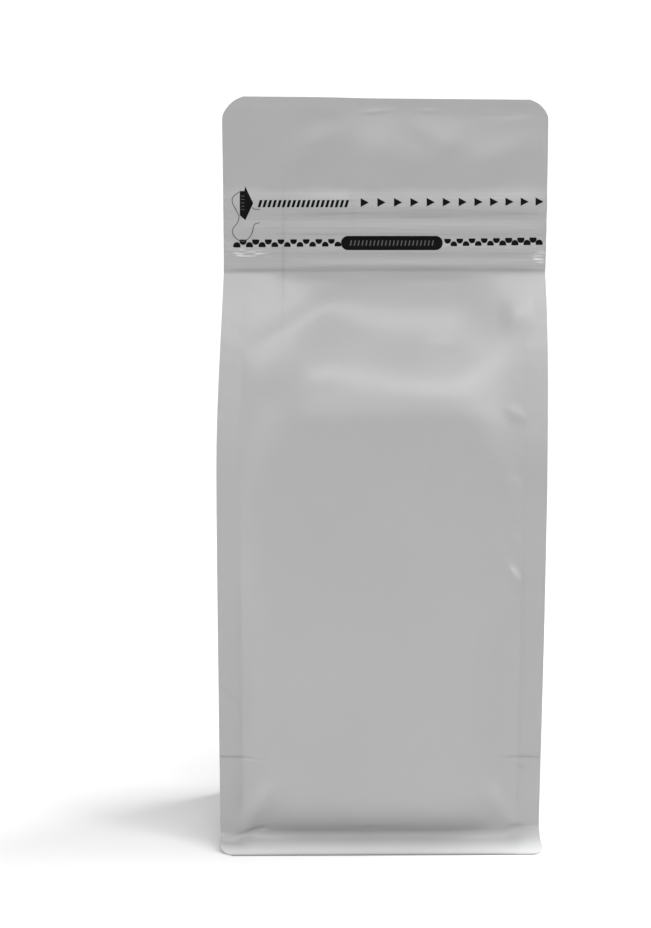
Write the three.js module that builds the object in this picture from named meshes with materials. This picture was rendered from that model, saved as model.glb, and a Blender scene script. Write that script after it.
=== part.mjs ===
// A flat-bottom pouch of matt grey film, filled and shut, standing on its base. Millimetres, +Z up.
// The front faces -Y. The origin is on the floor, under the middle of the pouch.
//
// The pouch is one welded piece of film: front and back panel, two side gussets and a base. The welds stand
// out as four upright fins and as a lip along the foot of the front and the back. Above the filling the side
// gussets fold inwards, and the film runs flat through the zipper band to the welded top.
//
// Its skin is the grid of a box, whose lines are laid along the real welds and folds: i runs from left to
// right, j from front to back, k from the foot to the top.
import * as THREE from "three";
import { mergeVertices } from "three/addons/utils/BufferGeometryUtils.js";

// The pack as it is made, lying flat
const PANEL_WIDTH = 145.6; // front and back panel, from cut edge to cut edge
const GUSSET = 96; // side gusset and base, from cut edge to cut edge
const WELD = 10; // width of the weld along each upright edge
const TOP_WELD = 6; // height of the weld along the top edge
const TOP_SLANT = 1.1; // the top edge is cut this much lower at its right end
const FIN_THICKNESS = 0.8; // layers of film, welded
const TOP_CORNER = { left: 9.6, right: 8.2 }; // the rounded cut across each top corner
const TOP_CORNER_ROUND = 1.55; // its curve: 1 is a straight cut, 2 a quarter circle
const LIP_CORNER = 6.2; // the rounded cut across each corner of the lips, along the lip
const LIP_CORNER_HEIGHT = 4; // and up the lip

// The foot of the pack as it stands, filled
const HEIGHT = 337.5; // floor to top edge
const FOOT_DEPTH = 34.5; // half depth of the foot, at the root of the lips
const LIP_HEIGHT = 6.5; // height of the valley between lip and body, in the middle
const LIP_HEIGHT_ENDS = 6.9; // and where the fins begin
const LIP_FIN_HEIGHT = { left: 5.4, right: 8.3 }; // height of the lip's bend on each fin
const LIP_RISE = 0.19; // slope of that bend, outwards
const LIP_BLEND = { from: 6, to: 2 }; // from this far inside the fin's root to this far outside it
const LIP_REACH = 10.5; // how far the lips spread beyond the foot
const LIP_CURVE = { middle: 2, ends: 1.2 }; // how hollow a lip is
const LIP_FLARE = { left: 0.3, right: 3 }; // how far the ends of the lips spread sideways
const FOOT_ROUND = 20; // height over which the body bulges out above the lip
const FOOT_FULLNESS = 2.5; // how soon it bulges: 1 is a straight slope
const VALLEY_ROUND = 0.07; // share of that height over which the valley is rounded
const FOOT_TUCK = 0.07; // slope of the folded triangle at the foot of each side

// Its body
const BULGE_DEPTH = 44; // half depth in the middle of the body, low down
const BULGE_TOP = 38.8; // and at the top of the body
const UPRIGHT_FROM = 110; // above this height the fins stand upright
const SLIM_FROM = 70; // above this height the body gets slimmer
const SIDE_BULGE = 3; // how far the sides swell between their fins
const SIDE_BULGE_BELOW = [10, 60]; // heights between which the swelling begins
const SIDE_BULGE_ABOVE = [110, 175]; // and between which it ends
const SHOULDER = 195; // top of the upright part of the front
const SHOULDER_ROUND = 27;
const NECK = 258.5; // the film is flat from here up
const NECK_ROUND = { left: 8, right: 36 }; // height of the turn below the band
const NECK_TURN = [-45, 15]; // places across between which it widens
const FOLD_FROM = { left: 130, right: 160 }; // the gussets fold inwards above this height
const FOLD_POWER = { left: 2.6, right: 1.85 };
const FOLD_EASE = 30; // the stretch over which the fold begins
const LEAN = 1.2; // the top stands this far to the right, the body as far to the left
const LEAN_FROM = 172;
const LEAN_TO = 272;

// How far in from its fins a panel takes to stand out in full, as a share of its half width: at the foot,
// halfway up and at the shoulder, with the heights between which it changes
const FOOT_REACH = { left: 0.5, right: 0.6 };
const BODY_REACH = 0.22;
const SHOULDER_REACH = 0.55;
const FOOT_SKEW = { left: 0.65, right: 0.8 };
const REACH_NARROWS = [70, 130];
const REACH_WIDENS = [155, 215];

// The flat top
const BAND_LOW = 261; // lower and upper edge of the zipper band
const BAND_HIGH = 293.5;
const BAND_STEP = 2; // height of the step at its lower edge
const BAND_LIFT = 0.7; // how far the zipper pushes the front film out
const BAND_FLARE = 15; // above the band the film settles back over this height
const FLAT_DEPTH = 1.6; // half thickness of the flat top
const FLAT_TO = 300;
const TOP_WELD_DEPTH = 0.6; // half thickness of the top weld
const HEAD_SLACK = 1.3; // slack film between the band and the top weld
const HEAD_CURL = 5; // its left half curls this far towards the front, up to the weld
const CURL_FROM = 2; // the curl begins this far above the band
const CURL_POWER = 1.3;
const CURL_ENDS = [-34, -4]; // places across between which it runs out
const SLIT_DEPTH = 5; // how far the folded gusset opens between the fins of the flat top
const SLIT_CLOSES = 315; // and the height above which it closes

// Ribs that the zipper and its tapes press into the front film: heights of the low edge, of the crest's two
// edges and of the top edge, and the lift
const RIBS = [
  { low: 261.6, from: 263.2, to: 263.4, top: 266.6, lift: 0.5 },
  { low: 266.4, from: 269.8, to: 271, top: 274.6, lift: 0.75 },
  { low: 274.8, from: 278.6, to: 279.2, top: 283.6, lift: 0.85 },
  { low: 283.6, from: 288.8, to: 289.2, top: 299, lift: 1.9 },
];

const HALF_WIDTH = PANEL_WIDTH / 2;
const ROOT = HALF_WIDTH - WELD; // where a fin leaves the body
const HALF_SIDE = GUSSET / 2 - WELD; // free film from a fin to the middle fold of the gusset
const BODY_DEPTH = HALF_SIDE - 0.2; // half depth at the fins, where the pouch is fullest
const WELD_FROM = HEIGHT - TOP_WELD;

const { clamp, lerp } = THREE.MathUtils;
const smooth = (from, to, value) => THREE.MathUtils.smoothstep(value, from, to);

// 0 below `from`, 1 above `to`, and a straight line between them
const ramp = (from, to, value) => clamp((value - from) / (to - from), 0, 1);

// One of two sizes, for the left or the right half of the pouch
const onSide = (sizes, x) => (x > 0 ? sizes.right : sizes.left);

// A size that changes evenly from the left edge of a panel to the right edge
const across = (sizes, x) => lerp(sizes.left, sizes.right, ramp(-HALF_WIDTH, HALF_WIDTH, x));

// 0 at the start and 1 at the end: a straight slope between two round turns
function slopeBetween(start, end, easeIn, easeOut, value) {
  const length = end - start;
  const along = clamp(value - start, 0, length);
  const run = length - (easeIn + easeOut) / 2;
  if (along < easeIn) return along ** 2 / (2 * easeIn) / run;
  if (along > length - easeOut) return 1 - (length - along) ** 2 / (2 * easeOut) / run;
  return (along - easeIn / 2) / run;
}

function flatDepth(z) {
  return lerp(FLAT_DEPTH, TOP_WELD_DEPTH, smooth(FLAT_TO, WELD_FROM, z));
}

// Height of the valley above the lip: it sags in the middle, and is lower on the left fin
function lipHeight(x) {
  const out = Math.abs(x);
  const front = lerp(LIP_HEIGHT, LIP_HEIGHT_ENDS, ramp(0, ROOT, out) ** 2);
  const fin = onSide(LIP_FIN_HEIGHT, x) + LIP_RISE * (out - ROOT);
  return lerp(front, fin, smooth(ROOT - LIP_BLEND.from, ROOT + LIP_BLEND.to, out));
}

// Half depth of the pouch at its fins. The left gusset starts to close lower than the right one.
function finDepth(x, z) {
  const full = lerp(FOOT_DEPTH, BODY_DEPTH, smooth(LIP_HEIGHT, UPRIGHT_FROM, z));
  const closing = ramp(across(FOLD_FROM, x), NECK + 1, z) ** across(FOLD_POWER, x);
  return lerp(full, flatDepth(z), closing);
}

// How far the body has bulged out above the rounded valley: from 0 to 1
function footBulge(x, z) {
  const risen = ramp(0, FOOT_ROUND, z - lipHeight(x));
  const eased = risen - VALLEY_ROUND * (1 - Math.exp(-risen / VALLEY_ROUND));
  return 1 - (1 - eased) ** FOOT_FULLNESS;
}

// Half depth of the front and of the back, away from the fins
function middleDepth(x, z) {
  const bulge = lerp(BULGE_DEPTH, BULGE_TOP, smooth(SLIM_FROM, SHOULDER, z));
  const body = lerp(FOOT_DEPTH, bulge, footBulge(x, z));
  const slack = HEAD_SLACK * Math.sin(Math.PI * ramp(BAND_HIGH, WELD_FROM, z)) ** 2;
  const neckRound = lerp(NECK_ROUND.left, NECK_ROUND.right, smooth(...NECK_TURN, x));
  const closing = slopeBetween(SHOULDER, NECK, SHOULDER_ROUND, neckRound, z);
  return lerp(body, flatDepth(z), closing) + slack;
}

// How far the film of a panel stands out at x: fully in the middle, and not at all at the fins
function bulgeShare(x, z) {
  const shoulder = smooth(...REACH_WIDENS, z);
  const body = lerp(onSide(FOOT_REACH, x), BODY_REACH, smooth(...REACH_NARROWS, z));
  const reach = lerp(body, SHOULDER_REACH, shoulder);
  const fromFin = clamp((1 - Math.abs(x) / ROOT) / reach, 0, 1);
  return smooth(0, 1, fromFin ** lerp(onSide(FOOT_SKEW, x), 1, shoulder));
}

function lipSpread(x, z) {
  const power = lerp(LIP_CURVE.middle, LIP_CURVE.ends, ramp(0, ROOT, Math.abs(x)) ** 5);
  return LIP_REACH * (1 - ramp(0, lipHeight(x), z)) ** power;
}

function panelDepth(x, z) {
  const fin = finDepth(x, z);
  return fin + (middleDepth(x, z) - fin) * bulgeShare(x, z) + lipSpread(x, z);
}

// Relief of the zipper on the front, half as high on the fins
function zipperLift(x, z) {
  const rises = smooth(BAND_LOW - BAND_STEP / 2, BAND_LOW + BAND_STEP / 2, z);
  const settles = (1 - ramp(BAND_HIGH, BAND_HIGH + BAND_FLARE, z)) ** 2;
  let lift = BAND_LIFT * rises * settles;
  for (const rib of RIBS) {
    lift += rib.lift * smooth(rib.low, rib.from, z) * (1 - smooth(rib.to, rib.top, z));
  }
  return lift * (1 - 0.5 * smooth(ROOT, HALF_WIDTH, Math.abs(x)));
}

// How far the middle fold of a side gusset lies inside the fins. The film keeps its length as it folds.
function foldDepth(x, z) {
  const from = across(FOLD_FROM, x);
  const folded = Math.sqrt(Math.max(0, HALF_SIDE ** 2 - finDepth(x, z) ** 2));
  const flat = smooth(BAND_LOW - 8, BAND_LOW + 6, z);
  const inward = folded * smooth(from, from + FOLD_EASE, z);
  return lerp(inward, SLIT_DEPTH, flat) * (1 - smooth(SLIT_CLOSES, WELD_FROM, z));
}

// What a rounded corner takes off an edge, at a distance from the corner. Power 2 is a quarter circle.
function cornerCut(distance, reach, width, power) {
  const along = 1 - clamp(distance / reach, 0, 1);
  return width * (1 - (1 - along ** power) ** (1 / power));
}

// Half width of the panels, from the middle to the cut edge of a fin. Side is -1 for the left fins, 1 for
// the right ones.
function edgeWidth(side, z) {
  const corner = onSide(TOP_CORNER, side);
  const top = cornerCut(HEIGHT - z, corner, corner, TOP_CORNER_ROUND);
  const foot = cornerCut(z, LIP_CORNER_HEIGHT, LIP_CORNER, 2);
  const flare = onSide(LIP_FLARE, side) * (1 - ramp(0, LIP_HEIGHT, z)) ** 2;
  return HALF_WIDTH + flare - top - foot;
}

// Half width of a side gusset, where q runs from -1 at the front fin to 1 at the back fin
function sideWidth(side, q, z) {
  const toFold = 1 - Math.abs(q);
  const welded = lerp(ROOT, edgeWidth(side, z), smooth(SLIT_CLOSES, WELD_FROM, z));
  const swells = smooth(...SIDE_BULGE_BELOW, z) * (1 - smooth(...SIDE_BULGE_ABOVE, z));
  const tuck = FOOT_TUCK * Math.max(0, toFold * (GUSSET / 2) - z);
  return welded + SIDE_BULGE * (1 - q ** 2) * swells - tuck - foldDepth(side * HALF_WIDTH, z) * toFold;
}

function leanAt(z) {
  return LEAN * (2 * smooth(LEAN_FROM, LEAN_TO, z) - 1);
}

// The thin head is bent as a whole: its left half leans to the front
function curlAt(x, z) {
  const risen = ramp(BAND_HIGH + CURL_FROM, WELD_FROM, z) ** CURL_POWER;
  return HEAD_CURL * risen * (1 - smooth(...CURL_ENDS, x));
}

// How much lower a point of the head lies because the top edge is cut at a slant
function slantAt(x, z) {
  return TOP_SLANT * ramp(-HALF_WIDTH, HALF_WIDTH, x) * smooth(FLAT_TO, HEIGHT, z);
}

// Grid lines across the panels: the fin's edge, its root, then the body, closer together near the fins
const BODY_COLUMNS = 18;
const COLUMNS = BODY_COLUMNS + 2;

function panelX(i, z) {
  if (i === 0) return -edgeWidth(-1, z);
  if (i === COLUMNS) return edgeWidth(1, z);
  return ROOT * Math.sin(Math.PI * ((i - 1) / BODY_COLUMNS - 0.5));
}

// Grid lines on a side, from front to back: the front fin's edge and its inner face, the gusset from root
// to root, and the back fin
const FIN_LINES = 2;
const SIDE_COLUMNS = 8;
const DEPTH_LINES = SIDE_COLUMNS + 2 * FIN_LINES;
const LOWEST_ROOT = 2; // a fin's root ends just off the floor

// Heights of the grid, closer together where the form turns
function gridHeights() {
  const foot = [0, 0.8, 1.8, 2.9, LIP_CORNER_HEIGHT, 5.2, LIP_HEIGHT, 7.6, 8.8, 10.5, 13, 16.5, 21, 28, 36, 44];
  const body = [54, SLIM_FROM, 88, UPRIGHT_FROM];
  for (let z = FOLD_FROM.left; z < SHOULDER - 5; z += 11) body.push(z);
  for (let z = SHOULDER; z < NECK - 4; z += 5.5) body.push(z);
  const band = [NECK, BAND_LOW - BAND_STEP / 2, BAND_LOW + BAND_STEP / 2];
  for (const rib of RIBS) band.push((rib.from + rib.to) / 2, (rib.to + rib.top) / 2, rib.top);
  const top = [303, 309, SLIT_CLOSES, 322, 328, WELD_FROM, 333.5, 335.5, 336.8, HEIGHT];
  return [...foot, ...body, ...band, ...top];
}

const heights = gridHeights();
const LEVELS = heights.length - 1;

// A point of the front panel (facing -1) or of the back panel (facing 1)
function panelPoint(i, k, facing) {
  const z = heights[k];
  const x = panelX(i, z);
  const relief = facing < 0 ? zipperLift(x, z) : 0;
  return new THREE.Vector3(x, facing * (panelDepth(x, z) + relief), z - slantAt(x, z));
}

// A point of the left side (side -1) or of the right side (side 1), between its two fins
function sidePoint(j, k, side) {
  const z = heights[k];
  const facing = j < DEPTH_LINES / 2 ? -1 : 1; // towards the front fin or the back fin
  const line = Math.min(j, DEPTH_LINES - j);
  const edge = side * edgeWidth(side, z);
  const depth = finDepth(edge, z);
  const inner = depth - Math.min(FIN_THICKNESS, depth / 2);
  const down = slantAt(edge, z);
  if (line < FIN_LINES) return new THREE.Vector3(edge, facing * (inner + lipSpread(edge, z)), z - down);
  const q = (2 * (j - FIN_LINES)) / SIDE_COLUMNS - 1;
  const lowest = line === FIN_LINES ? LOWEST_ROOT : 0;
  return new THREE.Vector3(side * sideWidth(side, q, z), q * inner, Math.max(z, lowest) - down);
}

// A point of the base: from the edge of a lip up behind it, then down to lie flat on the floor
function basePoint(i, j) {
  const facing = j < DEPTH_LINES / 2 ? -1 : 1;
  const side = i < COLUMNS / 2 ? -1 : 1;
  const line = Math.min(j, DEPTH_LINES - j);
  const column = Math.min(i, COLUMNS - i);
  const x = panelX(i, 0);
  if (line < FIN_LINES) return new THREE.Vector3(x, facing * (FOOT_DEPTH + LIP_REACH - FIN_THICKNESS), 0);
  const q = (2 * (j - FIN_LINES)) / SIDE_COLUMNS - 1;
  const y = q * (FOOT_DEPTH - FIN_THICKNESS);
  const edge = sideWidth(side, q, 0) - FIN_THICKNESS;
  const root = 0.6 * lipHeight(x);
  if (column === 1) return new THREE.Vector3(side * edge, y, line === FIN_LINES ? LOWEST_ROOT : 0);
  const inward = (column - 2) / (COLUMNS / 2 - 2);
  const raised = Math.max(line === FIN_LINES ? 1 : 0, column === 2 ? 0.7 : 0);
  return new THREE.Vector3(side * lerp(edge - FIN_THICKNESS, 0, inward), y, raised * root);
}

// A point of the cut edge along the top
function topPoint(i, j) {
  const x = panelX(i, HEIGHT);
  const y = lerp(-TOP_WELD_DEPTH, TOP_WELD_DEPTH, j / DEPTH_LINES);
  return new THREE.Vector3(x, y, HEIGHT - slantAt(x, HEIGHT));
}

function skinPoint(i, j, k) {
  if (k === LEVELS) return topPoint(i, j);
  if (j === 0) return panelPoint(i, k, -1);
  if (j === DEPTH_LINES) return panelPoint(i, k, 1);
  if (i === 0) return sidePoint(j, k, -1);
  if (i === COLUMNS) return sidePoint(j, k, 1);
  return basePoint(i, j);
}

// The skin: the grid of a box, with each point moved to its place on the pouch
function pouchGeometry() {
  const box = new THREE.BoxGeometry(COLUMNS, DEPTH_LINES, LEVELS, COLUMNS, DEPTH_LINES, LEVELS);
  box.deleteAttribute("normal");
  box.deleteAttribute("uv");
  const skin = mergeVertices(box);
  const places = skin.getAttribute("position");
  for (let n = 0; n < places.count; n += 1) {
    const i = Math.round(places.getX(n) + COLUMNS / 2);
    const j = Math.round(places.getY(n) + DEPTH_LINES / 2);
    const k = Math.round(places.getZ(n) + LEVELS / 2);
    const point = skinPoint(i, j, k);
    places.setXYZ(n, point.x + leanAt(point.z), point.y - curlAt(point.x, point.z), point.z);
  }
  skin.computeVertexNormals();
  return skin;
}

const film = new THREE.MeshStandardMaterial({ color: 0xb2b2b4, roughness: 0.5, metalness: 0.1 });

const pouch = new THREE.Mesh(pouchGeometry(), film);
pouch.name = "pouch";

const model = new THREE.Group();
model.add(pouch);

export default model;
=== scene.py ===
import math

import bmesh
import bpy
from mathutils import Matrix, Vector, noise
from mathutils.bvhtree import BVHTree


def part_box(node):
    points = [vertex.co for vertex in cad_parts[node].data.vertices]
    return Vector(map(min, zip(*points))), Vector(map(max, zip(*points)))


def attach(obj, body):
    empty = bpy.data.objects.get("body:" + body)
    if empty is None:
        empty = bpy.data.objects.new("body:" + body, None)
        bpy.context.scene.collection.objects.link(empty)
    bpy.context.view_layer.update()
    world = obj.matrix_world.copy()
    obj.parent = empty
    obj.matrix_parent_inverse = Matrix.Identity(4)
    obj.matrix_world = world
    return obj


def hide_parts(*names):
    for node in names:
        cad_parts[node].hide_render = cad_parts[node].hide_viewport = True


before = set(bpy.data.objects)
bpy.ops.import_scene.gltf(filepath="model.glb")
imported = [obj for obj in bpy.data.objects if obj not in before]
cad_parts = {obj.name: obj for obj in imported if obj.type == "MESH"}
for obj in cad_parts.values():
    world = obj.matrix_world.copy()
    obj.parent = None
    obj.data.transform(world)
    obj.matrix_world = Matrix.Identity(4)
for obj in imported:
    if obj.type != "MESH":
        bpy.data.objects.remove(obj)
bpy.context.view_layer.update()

MM = 0.001  # lengths below are in millimetres, and meshes are in metres

# -------- The pouch's sizes, as in the frame

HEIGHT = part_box("pouch")[1].z / MM  # floor to top edge
PANEL_WIDTH = 145.6  # front and back panel, cut edge to cut edge
GUSSET = 96.0  # side gusset and base, cut edge to cut edge
WELD = 10.0  # width of the weld along each upright edge
TOP_WELD = 6.0  # height of the weld along the top edge
TOP_SLANT = 1.1  # the top edge is cut this much lower at its right end
FIN_THICKNESS = 0.8  # layers of film, welded
TOP_CORNER = (9.6, 8.2)  # the rounded cut across the left and the right top corner
TOP_CORNER_ROUND = 1.55  # its curve: 1 is a straight cut, 2 a quarter circle
LIP_CORNER = 6.2  # width of the rounded cut across each lower corner of the lips
LIP_CORNER_HEIGHT = 4.0  # and its height

FOOT_DEPTH = 34.5  # half depth of the foot, at the root of the lips
UPRIGHT_FROM = 110.0  # height at which the fins stand upright
BULGE_DEPTH = 44.0  # half depth in the middle of the body, low down
BULGE_TOP = 38.8  # and at the top of the body
BULGE_SLIMS_FROM = 70.0  # it gets slimmer above this height
FOOT_BULGE = ((0.5, 0.65), (0.6, 0.8))  # reach and skew of its rise from a fin at the foot, left and right
BULGE_REACH = (0.22, 0.55)  # that reach halfway up and at the shoulder, as a share of the way to the middle
BULGE_NARROWS = (70.0, 130.0)  # heights between which that reach gets narrow
BULGE_WIDENS = (155.0, 215.0)  # and wide again
LIP_HEIGHT = 6.5  # height of the valley between lip and body, in the middle
LIP_HEIGHT_ENDS = 6.9  # and where the fins begin
LIP_FIN_HEIGHT = (5.4, 8.3)  # height of the lip's bend on the left and the right fin
LIP_RISE = 0.19  # slope of that bend, outwards
LIP_BLEND = (6.0, 2.0)  # the two bends meet this far inside and outside a fin's root
LIP_REACH = 10.5  # how far the lips spread beyond the foot
LIP_CURVE = (2.0, 1.2)  # how they curve, in the middle and at the fins: 1 is a straight slope
LIP_CURVE_POWER = 5  # how near the fins that changes
LIP_FLARE = (0.3, 3.0)  # how far the left and the right end of the lips spread sideways
FOOT_ROUND = 20.0  # height over which the body bulges out above the lip
FOOT_FULLNESS = 2.5  # how soon it bulges: 1 is a straight slope
VALLEY_ROUND = 0.07  # share of that height over which the valley is rounded
FOOT_TUCK = 0.07  # slope of the side gussets, inwards to the floor, inside the base's folded triangle
SIDE_BULGE = 3.0  # how far the filling pushes the side gussets out
SIDE_BULGE_SPAN = (10.0, 60.0, 110.0, 175.0)  # heights between which that rises, and falls
SHOULDER = 195.0  # top of the upright part of the front
SHOULDER_ROUND = 27.0  # height of the round turn above it
NECK = 258.5  # the film is flat from here up
NECK_ROUND = (8.0, 36.0)  # height of the turn below the band, on the left and on the right
NECK_CHANGES = (-45.0, 15.0)  # places across between which that height changes
FOLD_FROM = (130.0, 160.0)  # the left and the right gusset fold inwards above this height
FOLD_TO = NECK + 1  # and they are flat at this height
FOLD_POWER = (2.6, 1.85)  # how late they close: 1 is a straight slope
FOLD_EASE = 30.0  # height over which their middle fold sets in
LEAN = 1.2  # the top stands this far to the right, the body as far to the left
LEAN_FROM = 172.0  # heights between which it leans over
LEAN_TO = 272.0

BAND_LOW = 261.0  # lower and upper edge of the zipper band
BAND_HIGH = 293.5
BAND_STEP = (2.4, 0.6)  # height of the step at its lower edge, in the middle and at its two ends
BAND_LIFT = 0.7  # how far the zipper pushes the front film out
BAND_FLARE = (9.0, 38.0)  # above it the film settles back over this height, at the ends and in the middle
FLAT_DEPTH = 1.6  # half thickness of the flat top
FLAT_TO = 300.0  # it thins out above this height
TOP_WELD_DEPTH = 0.6  # half thickness of the top weld
HEAD_SLACK = 1.3  # slack film between the band and the top weld
HEAD_CURL = 5.0  # its left half curls this far towards the front, up to the weld
CURL_FROM = BAND_HIGH + 2  # height at which the curl begins
CURL_POWER = 1.3  # how it grows with height: 1 is a straight slope
CURL_ENDS = (-34.0, -4.0)  # places across between which it runs out
SLIT_DEPTH = 5.0  # beside the flat top a gusset lies this deep inside its fins
SLIT_OPENS = (BAND_LOW - 8, BAND_LOW + 6)  # heights between which the folded gusset changes to that depth
SLIT_CLOSES = 315.0  # from this height it closes, up to the top weld

HALF_WIDTH = PANEL_WIDTH / 2
ROOT = HALF_WIDTH - WELD  # where a fin leaves the body
HALF_SIDE = GUSSET / 2 - WELD
BODY_DEPTH = HALF_SIDE - 0.2  # half depth of the upright body: the filling pulls the gussets almost flat
WELD_FROM = HEIGHT - TOP_WELD


def clamp(value, lowest=0.0, highest=1.0):
    return max(lowest, min(highest, value))


def lerp(start, end, share):
    return start + (end - start) * share


def ramp(start, end, value):
    return clamp((value - start) / (end - start))


def smooth(start, end, value):
    share = ramp(start, end, value)
    return share * share * (3 - 2 * share)


def within(span, value):
    """1 inside a span: it rises from 0 between the first two values, and falls between the last two."""
    rise_from, rise_to, fall_from, fall_to = span
    return smooth(rise_from, rise_to, value) * (1 - smooth(fall_from, fall_to, value))


def bell(middle, width, value):
    """1 at the middle, falling off as a bell curve."""
    return math.exp(-(((value - middle) / width) ** 2))


def slope_between(start, end, ease_in, ease_out, value):
    """0 at the start and 1 at the end: a straight slope between two round turns."""
    length = end - start
    along = clamp(value - start, 0, length)
    run = length - (ease_in + ease_out) / 2
    if along < ease_in:
        return along ** 2 / (2 * ease_in) / run
    if along > length - ease_out:
        return 1 - (length - along) ** 2 / (2 * ease_out) / run
    return (along - ease_in / 2) / run


# -------- The form of the film

def across(x):
    """0 at the left edge of a panel, 1 at the right edge."""
    return clamp(0.5 + x / PANEL_WIDTH)


def flat_depth(z):
    """Half thickness of the flat top, which thins out towards its weld."""
    return lerp(FLAT_DEPTH, TOP_WELD_DEPTH, smooth(FLAT_TO, WELD_FROM, z))


def lip_height(x):
    """Height of the valley above the lip: it sags in the middle, and is lower on the left fin."""
    front = lerp(LIP_HEIGHT, LIP_HEIGHT_ENDS, clamp(abs(x) / ROOT) ** 2)
    fin = LIP_FIN_HEIGHT[x > 0] + LIP_RISE * (abs(x) - ROOT)
    return lerp(front, fin, smooth(ROOT - LIP_BLEND[0], ROOT + LIP_BLEND[1], abs(x)))


def fin_depth(x, z):
    """Half depth of the pouch at its fins. The left gusset starts to close lower than the right one."""
    full = lerp(FOOT_DEPTH, BODY_DEPTH, smooth(LIP_HEIGHT, UPRIGHT_FROM, z))
    fold_from = lerp(*FOLD_FROM, across(x))
    closing = ramp(fold_from, FOLD_TO, z) ** lerp(*FOLD_POWER, across(x))
    return lerp(full, flat_depth(z), closing)


def foot_bulge(x, z):
    """How far the body has bulged out above the rounded valley: from 0 to 1."""
    risen = ramp(0, FOOT_ROUND, z - lip_height(x))
    eased = risen - VALLEY_ROUND * (1 - math.exp(-risen / VALLEY_ROUND))
    return 1 - (1 - eased) ** FOOT_FULLNESS


def middle_depth(x, z):
    """Half depth of the front and of the back, away from the fins."""
    bulge = lerp(BULGE_DEPTH, BULGE_TOP, smooth(BULGE_SLIMS_FROM, SHOULDER, z))
    body = lerp(FOOT_DEPTH, bulge, foot_bulge(x, z))
    slack = HEAD_SLACK * math.sin(math.pi * ramp(BAND_HIGH, WELD_FROM, z)) ** 2
    neck_round = lerp(*NECK_ROUND, smooth(*NECK_CHANGES, x))
    closing = slope_between(SHOULDER, NECK, SHOULDER_ROUND, neck_round, z)
    return lerp(body, flat_depth(z), closing) + slack


def bulge_share(x, z):
    """How far a panel stands out at x: fully in the middle, and not at all at the fins.

    It rises from the fins in a soft curve, which is narrow halfway up and wide at the foot and shoulder.
    """
    shoulder = smooth(*BULGE_WIDENS, z)
    narrow, wide = BULGE_REACH
    foot_reach, foot_skew = FOOT_BULGE[x >= 0]
    reach = lerp(lerp(foot_reach, narrow, smooth(*BULGE_NARROWS, z)), wide, shoulder)
    skew = lerp(foot_skew, 1, shoulder)
    from_fin = clamp((1 - abs(x) / ROOT) / reach)
    return smooth(0, 1, from_fin ** skew)


def lip_spread(x, z):
    """How far a lip stands out from the foot: fully at the floor, and not at all at its bend."""
    curve = lerp(*LIP_CURVE, clamp(abs(x) / ROOT) ** LIP_CURVE_POWER)
    return LIP_REACH * (1 - ramp(0, lip_height(x), z)) ** curve


def panel_depth(x, z):
    """How far the front and the back panel lie from the middle of the pouch."""
    fin = fin_depth(x, z)
    return fin + (middle_depth(x, z) - fin) * bulge_share(x, z) + lip_spread(x, z)


def fold_depth(x, z):
    """How far the middle fold of a side gusset lies inside the fins."""
    fold_from = lerp(*FOLD_FROM, across(x))
    folded = math.sqrt(max(0.0, HALF_SIDE ** 2 - fin_depth(x, z) ** 2))
    flat = smooth(*SLIT_OPENS, z)
    inward = folded * smooth(fold_from, fold_from + FOLD_EASE, z)
    return lerp(inward, SLIT_DEPTH, flat) * (1 - smooth(SLIT_CLOSES, WELD_FROM, z))


def corner_cut(distance, reach, width, power):
    """What a rounded corner takes off an edge, at a distance from the corner."""
    along = 1 - clamp(distance / reach)
    return width * (1 - (1 - along ** power) ** (1 / power))


def edge_width(side, z):
    """Half width of the panels, from the middle to the cut edge of a fin."""
    corner = TOP_CORNER[side > 0]
    top = corner_cut(HEIGHT - z, corner, corner, TOP_CORNER_ROUND)
    foot = corner_cut(z, LIP_CORNER_HEIGHT, LIP_CORNER, 2)
    flare = LIP_FLARE[side > 0] * (1 - ramp(0, LIP_HEIGHT, z)) ** 2
    return HALF_WIDTH + flare - top - foot


def side_width(side, q, z):
    """Half width of a side gusset, where q runs from -1 at the front fin to 1 at the back fin."""
    to_fold = 1 - abs(q)
    welded = lerp(ROOT, edge_width(side, z), smooth(SLIT_CLOSES, WELD_FROM, z))
    bulge = SIDE_BULGE * (1 - q * q) * within(SIDE_BULGE_SPAN, z)
    tuck = FOOT_TUCK * max(0.0, to_fold * (GUSSET / 2) - z)
    return welded + bulge - tuck - fold_depth(side * HALF_WIDTH, z) * to_fold


def lean_at(z):
    """How far the pouch stands to the right of its middle plane."""
    return LEAN * (2 * smooth(LEAN_FROM, LEAN_TO, z) - 1)


def curl_at(x, z):
    """The thin head is bent as a whole: its left half leans to the front, up to the top weld."""
    return HEAD_CURL * ramp(CURL_FROM, WELD_FROM, z) ** CURL_POWER * (1 - smooth(*CURL_ENDS, x))


def slant(x, z):
    """How far the film is lowered by the slanted cut along the top."""
    return TOP_SLANT * across(x) * smooth(FLAT_TO, HEIGHT, z)


# -------- The film as a grid

# Grid lines of the film: i across the panels, j from front to back on the sides, k upwards
BODY_COLUMNS = 42
FIN_COLUMNS = 5
COLUMNS = BODY_COLUMNS + 2 * FIN_COLUMNS
FIN_LINES = 3
SIDE_COLUMNS = 14
DEPTH_LINES = SIDE_COLUMNS + 2 * FIN_LINES
GUSSET_CREASE = 43.0  # the top fold of the base shows as a crease across the fins
LOWEST_ROOT = 2.0  # a fin's root ends just off the floor
WELD_LINES = 0.6  # share of a film's thickness over which grid lines spread in the top weld
COLUMN_CROWDING = 0.2  # how much the body's columns crowd towards the fins
BASE_RISE = 0.6  # share of the lip's height by which the base is lifted along its front and back edge
BASE_LIP_RISE = 0.6  # share of that by which it is lifted at the root of the lip
BASE_SIDE_RISE = 0.7  # share of that by which it is lifted inside the side gussets

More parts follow.
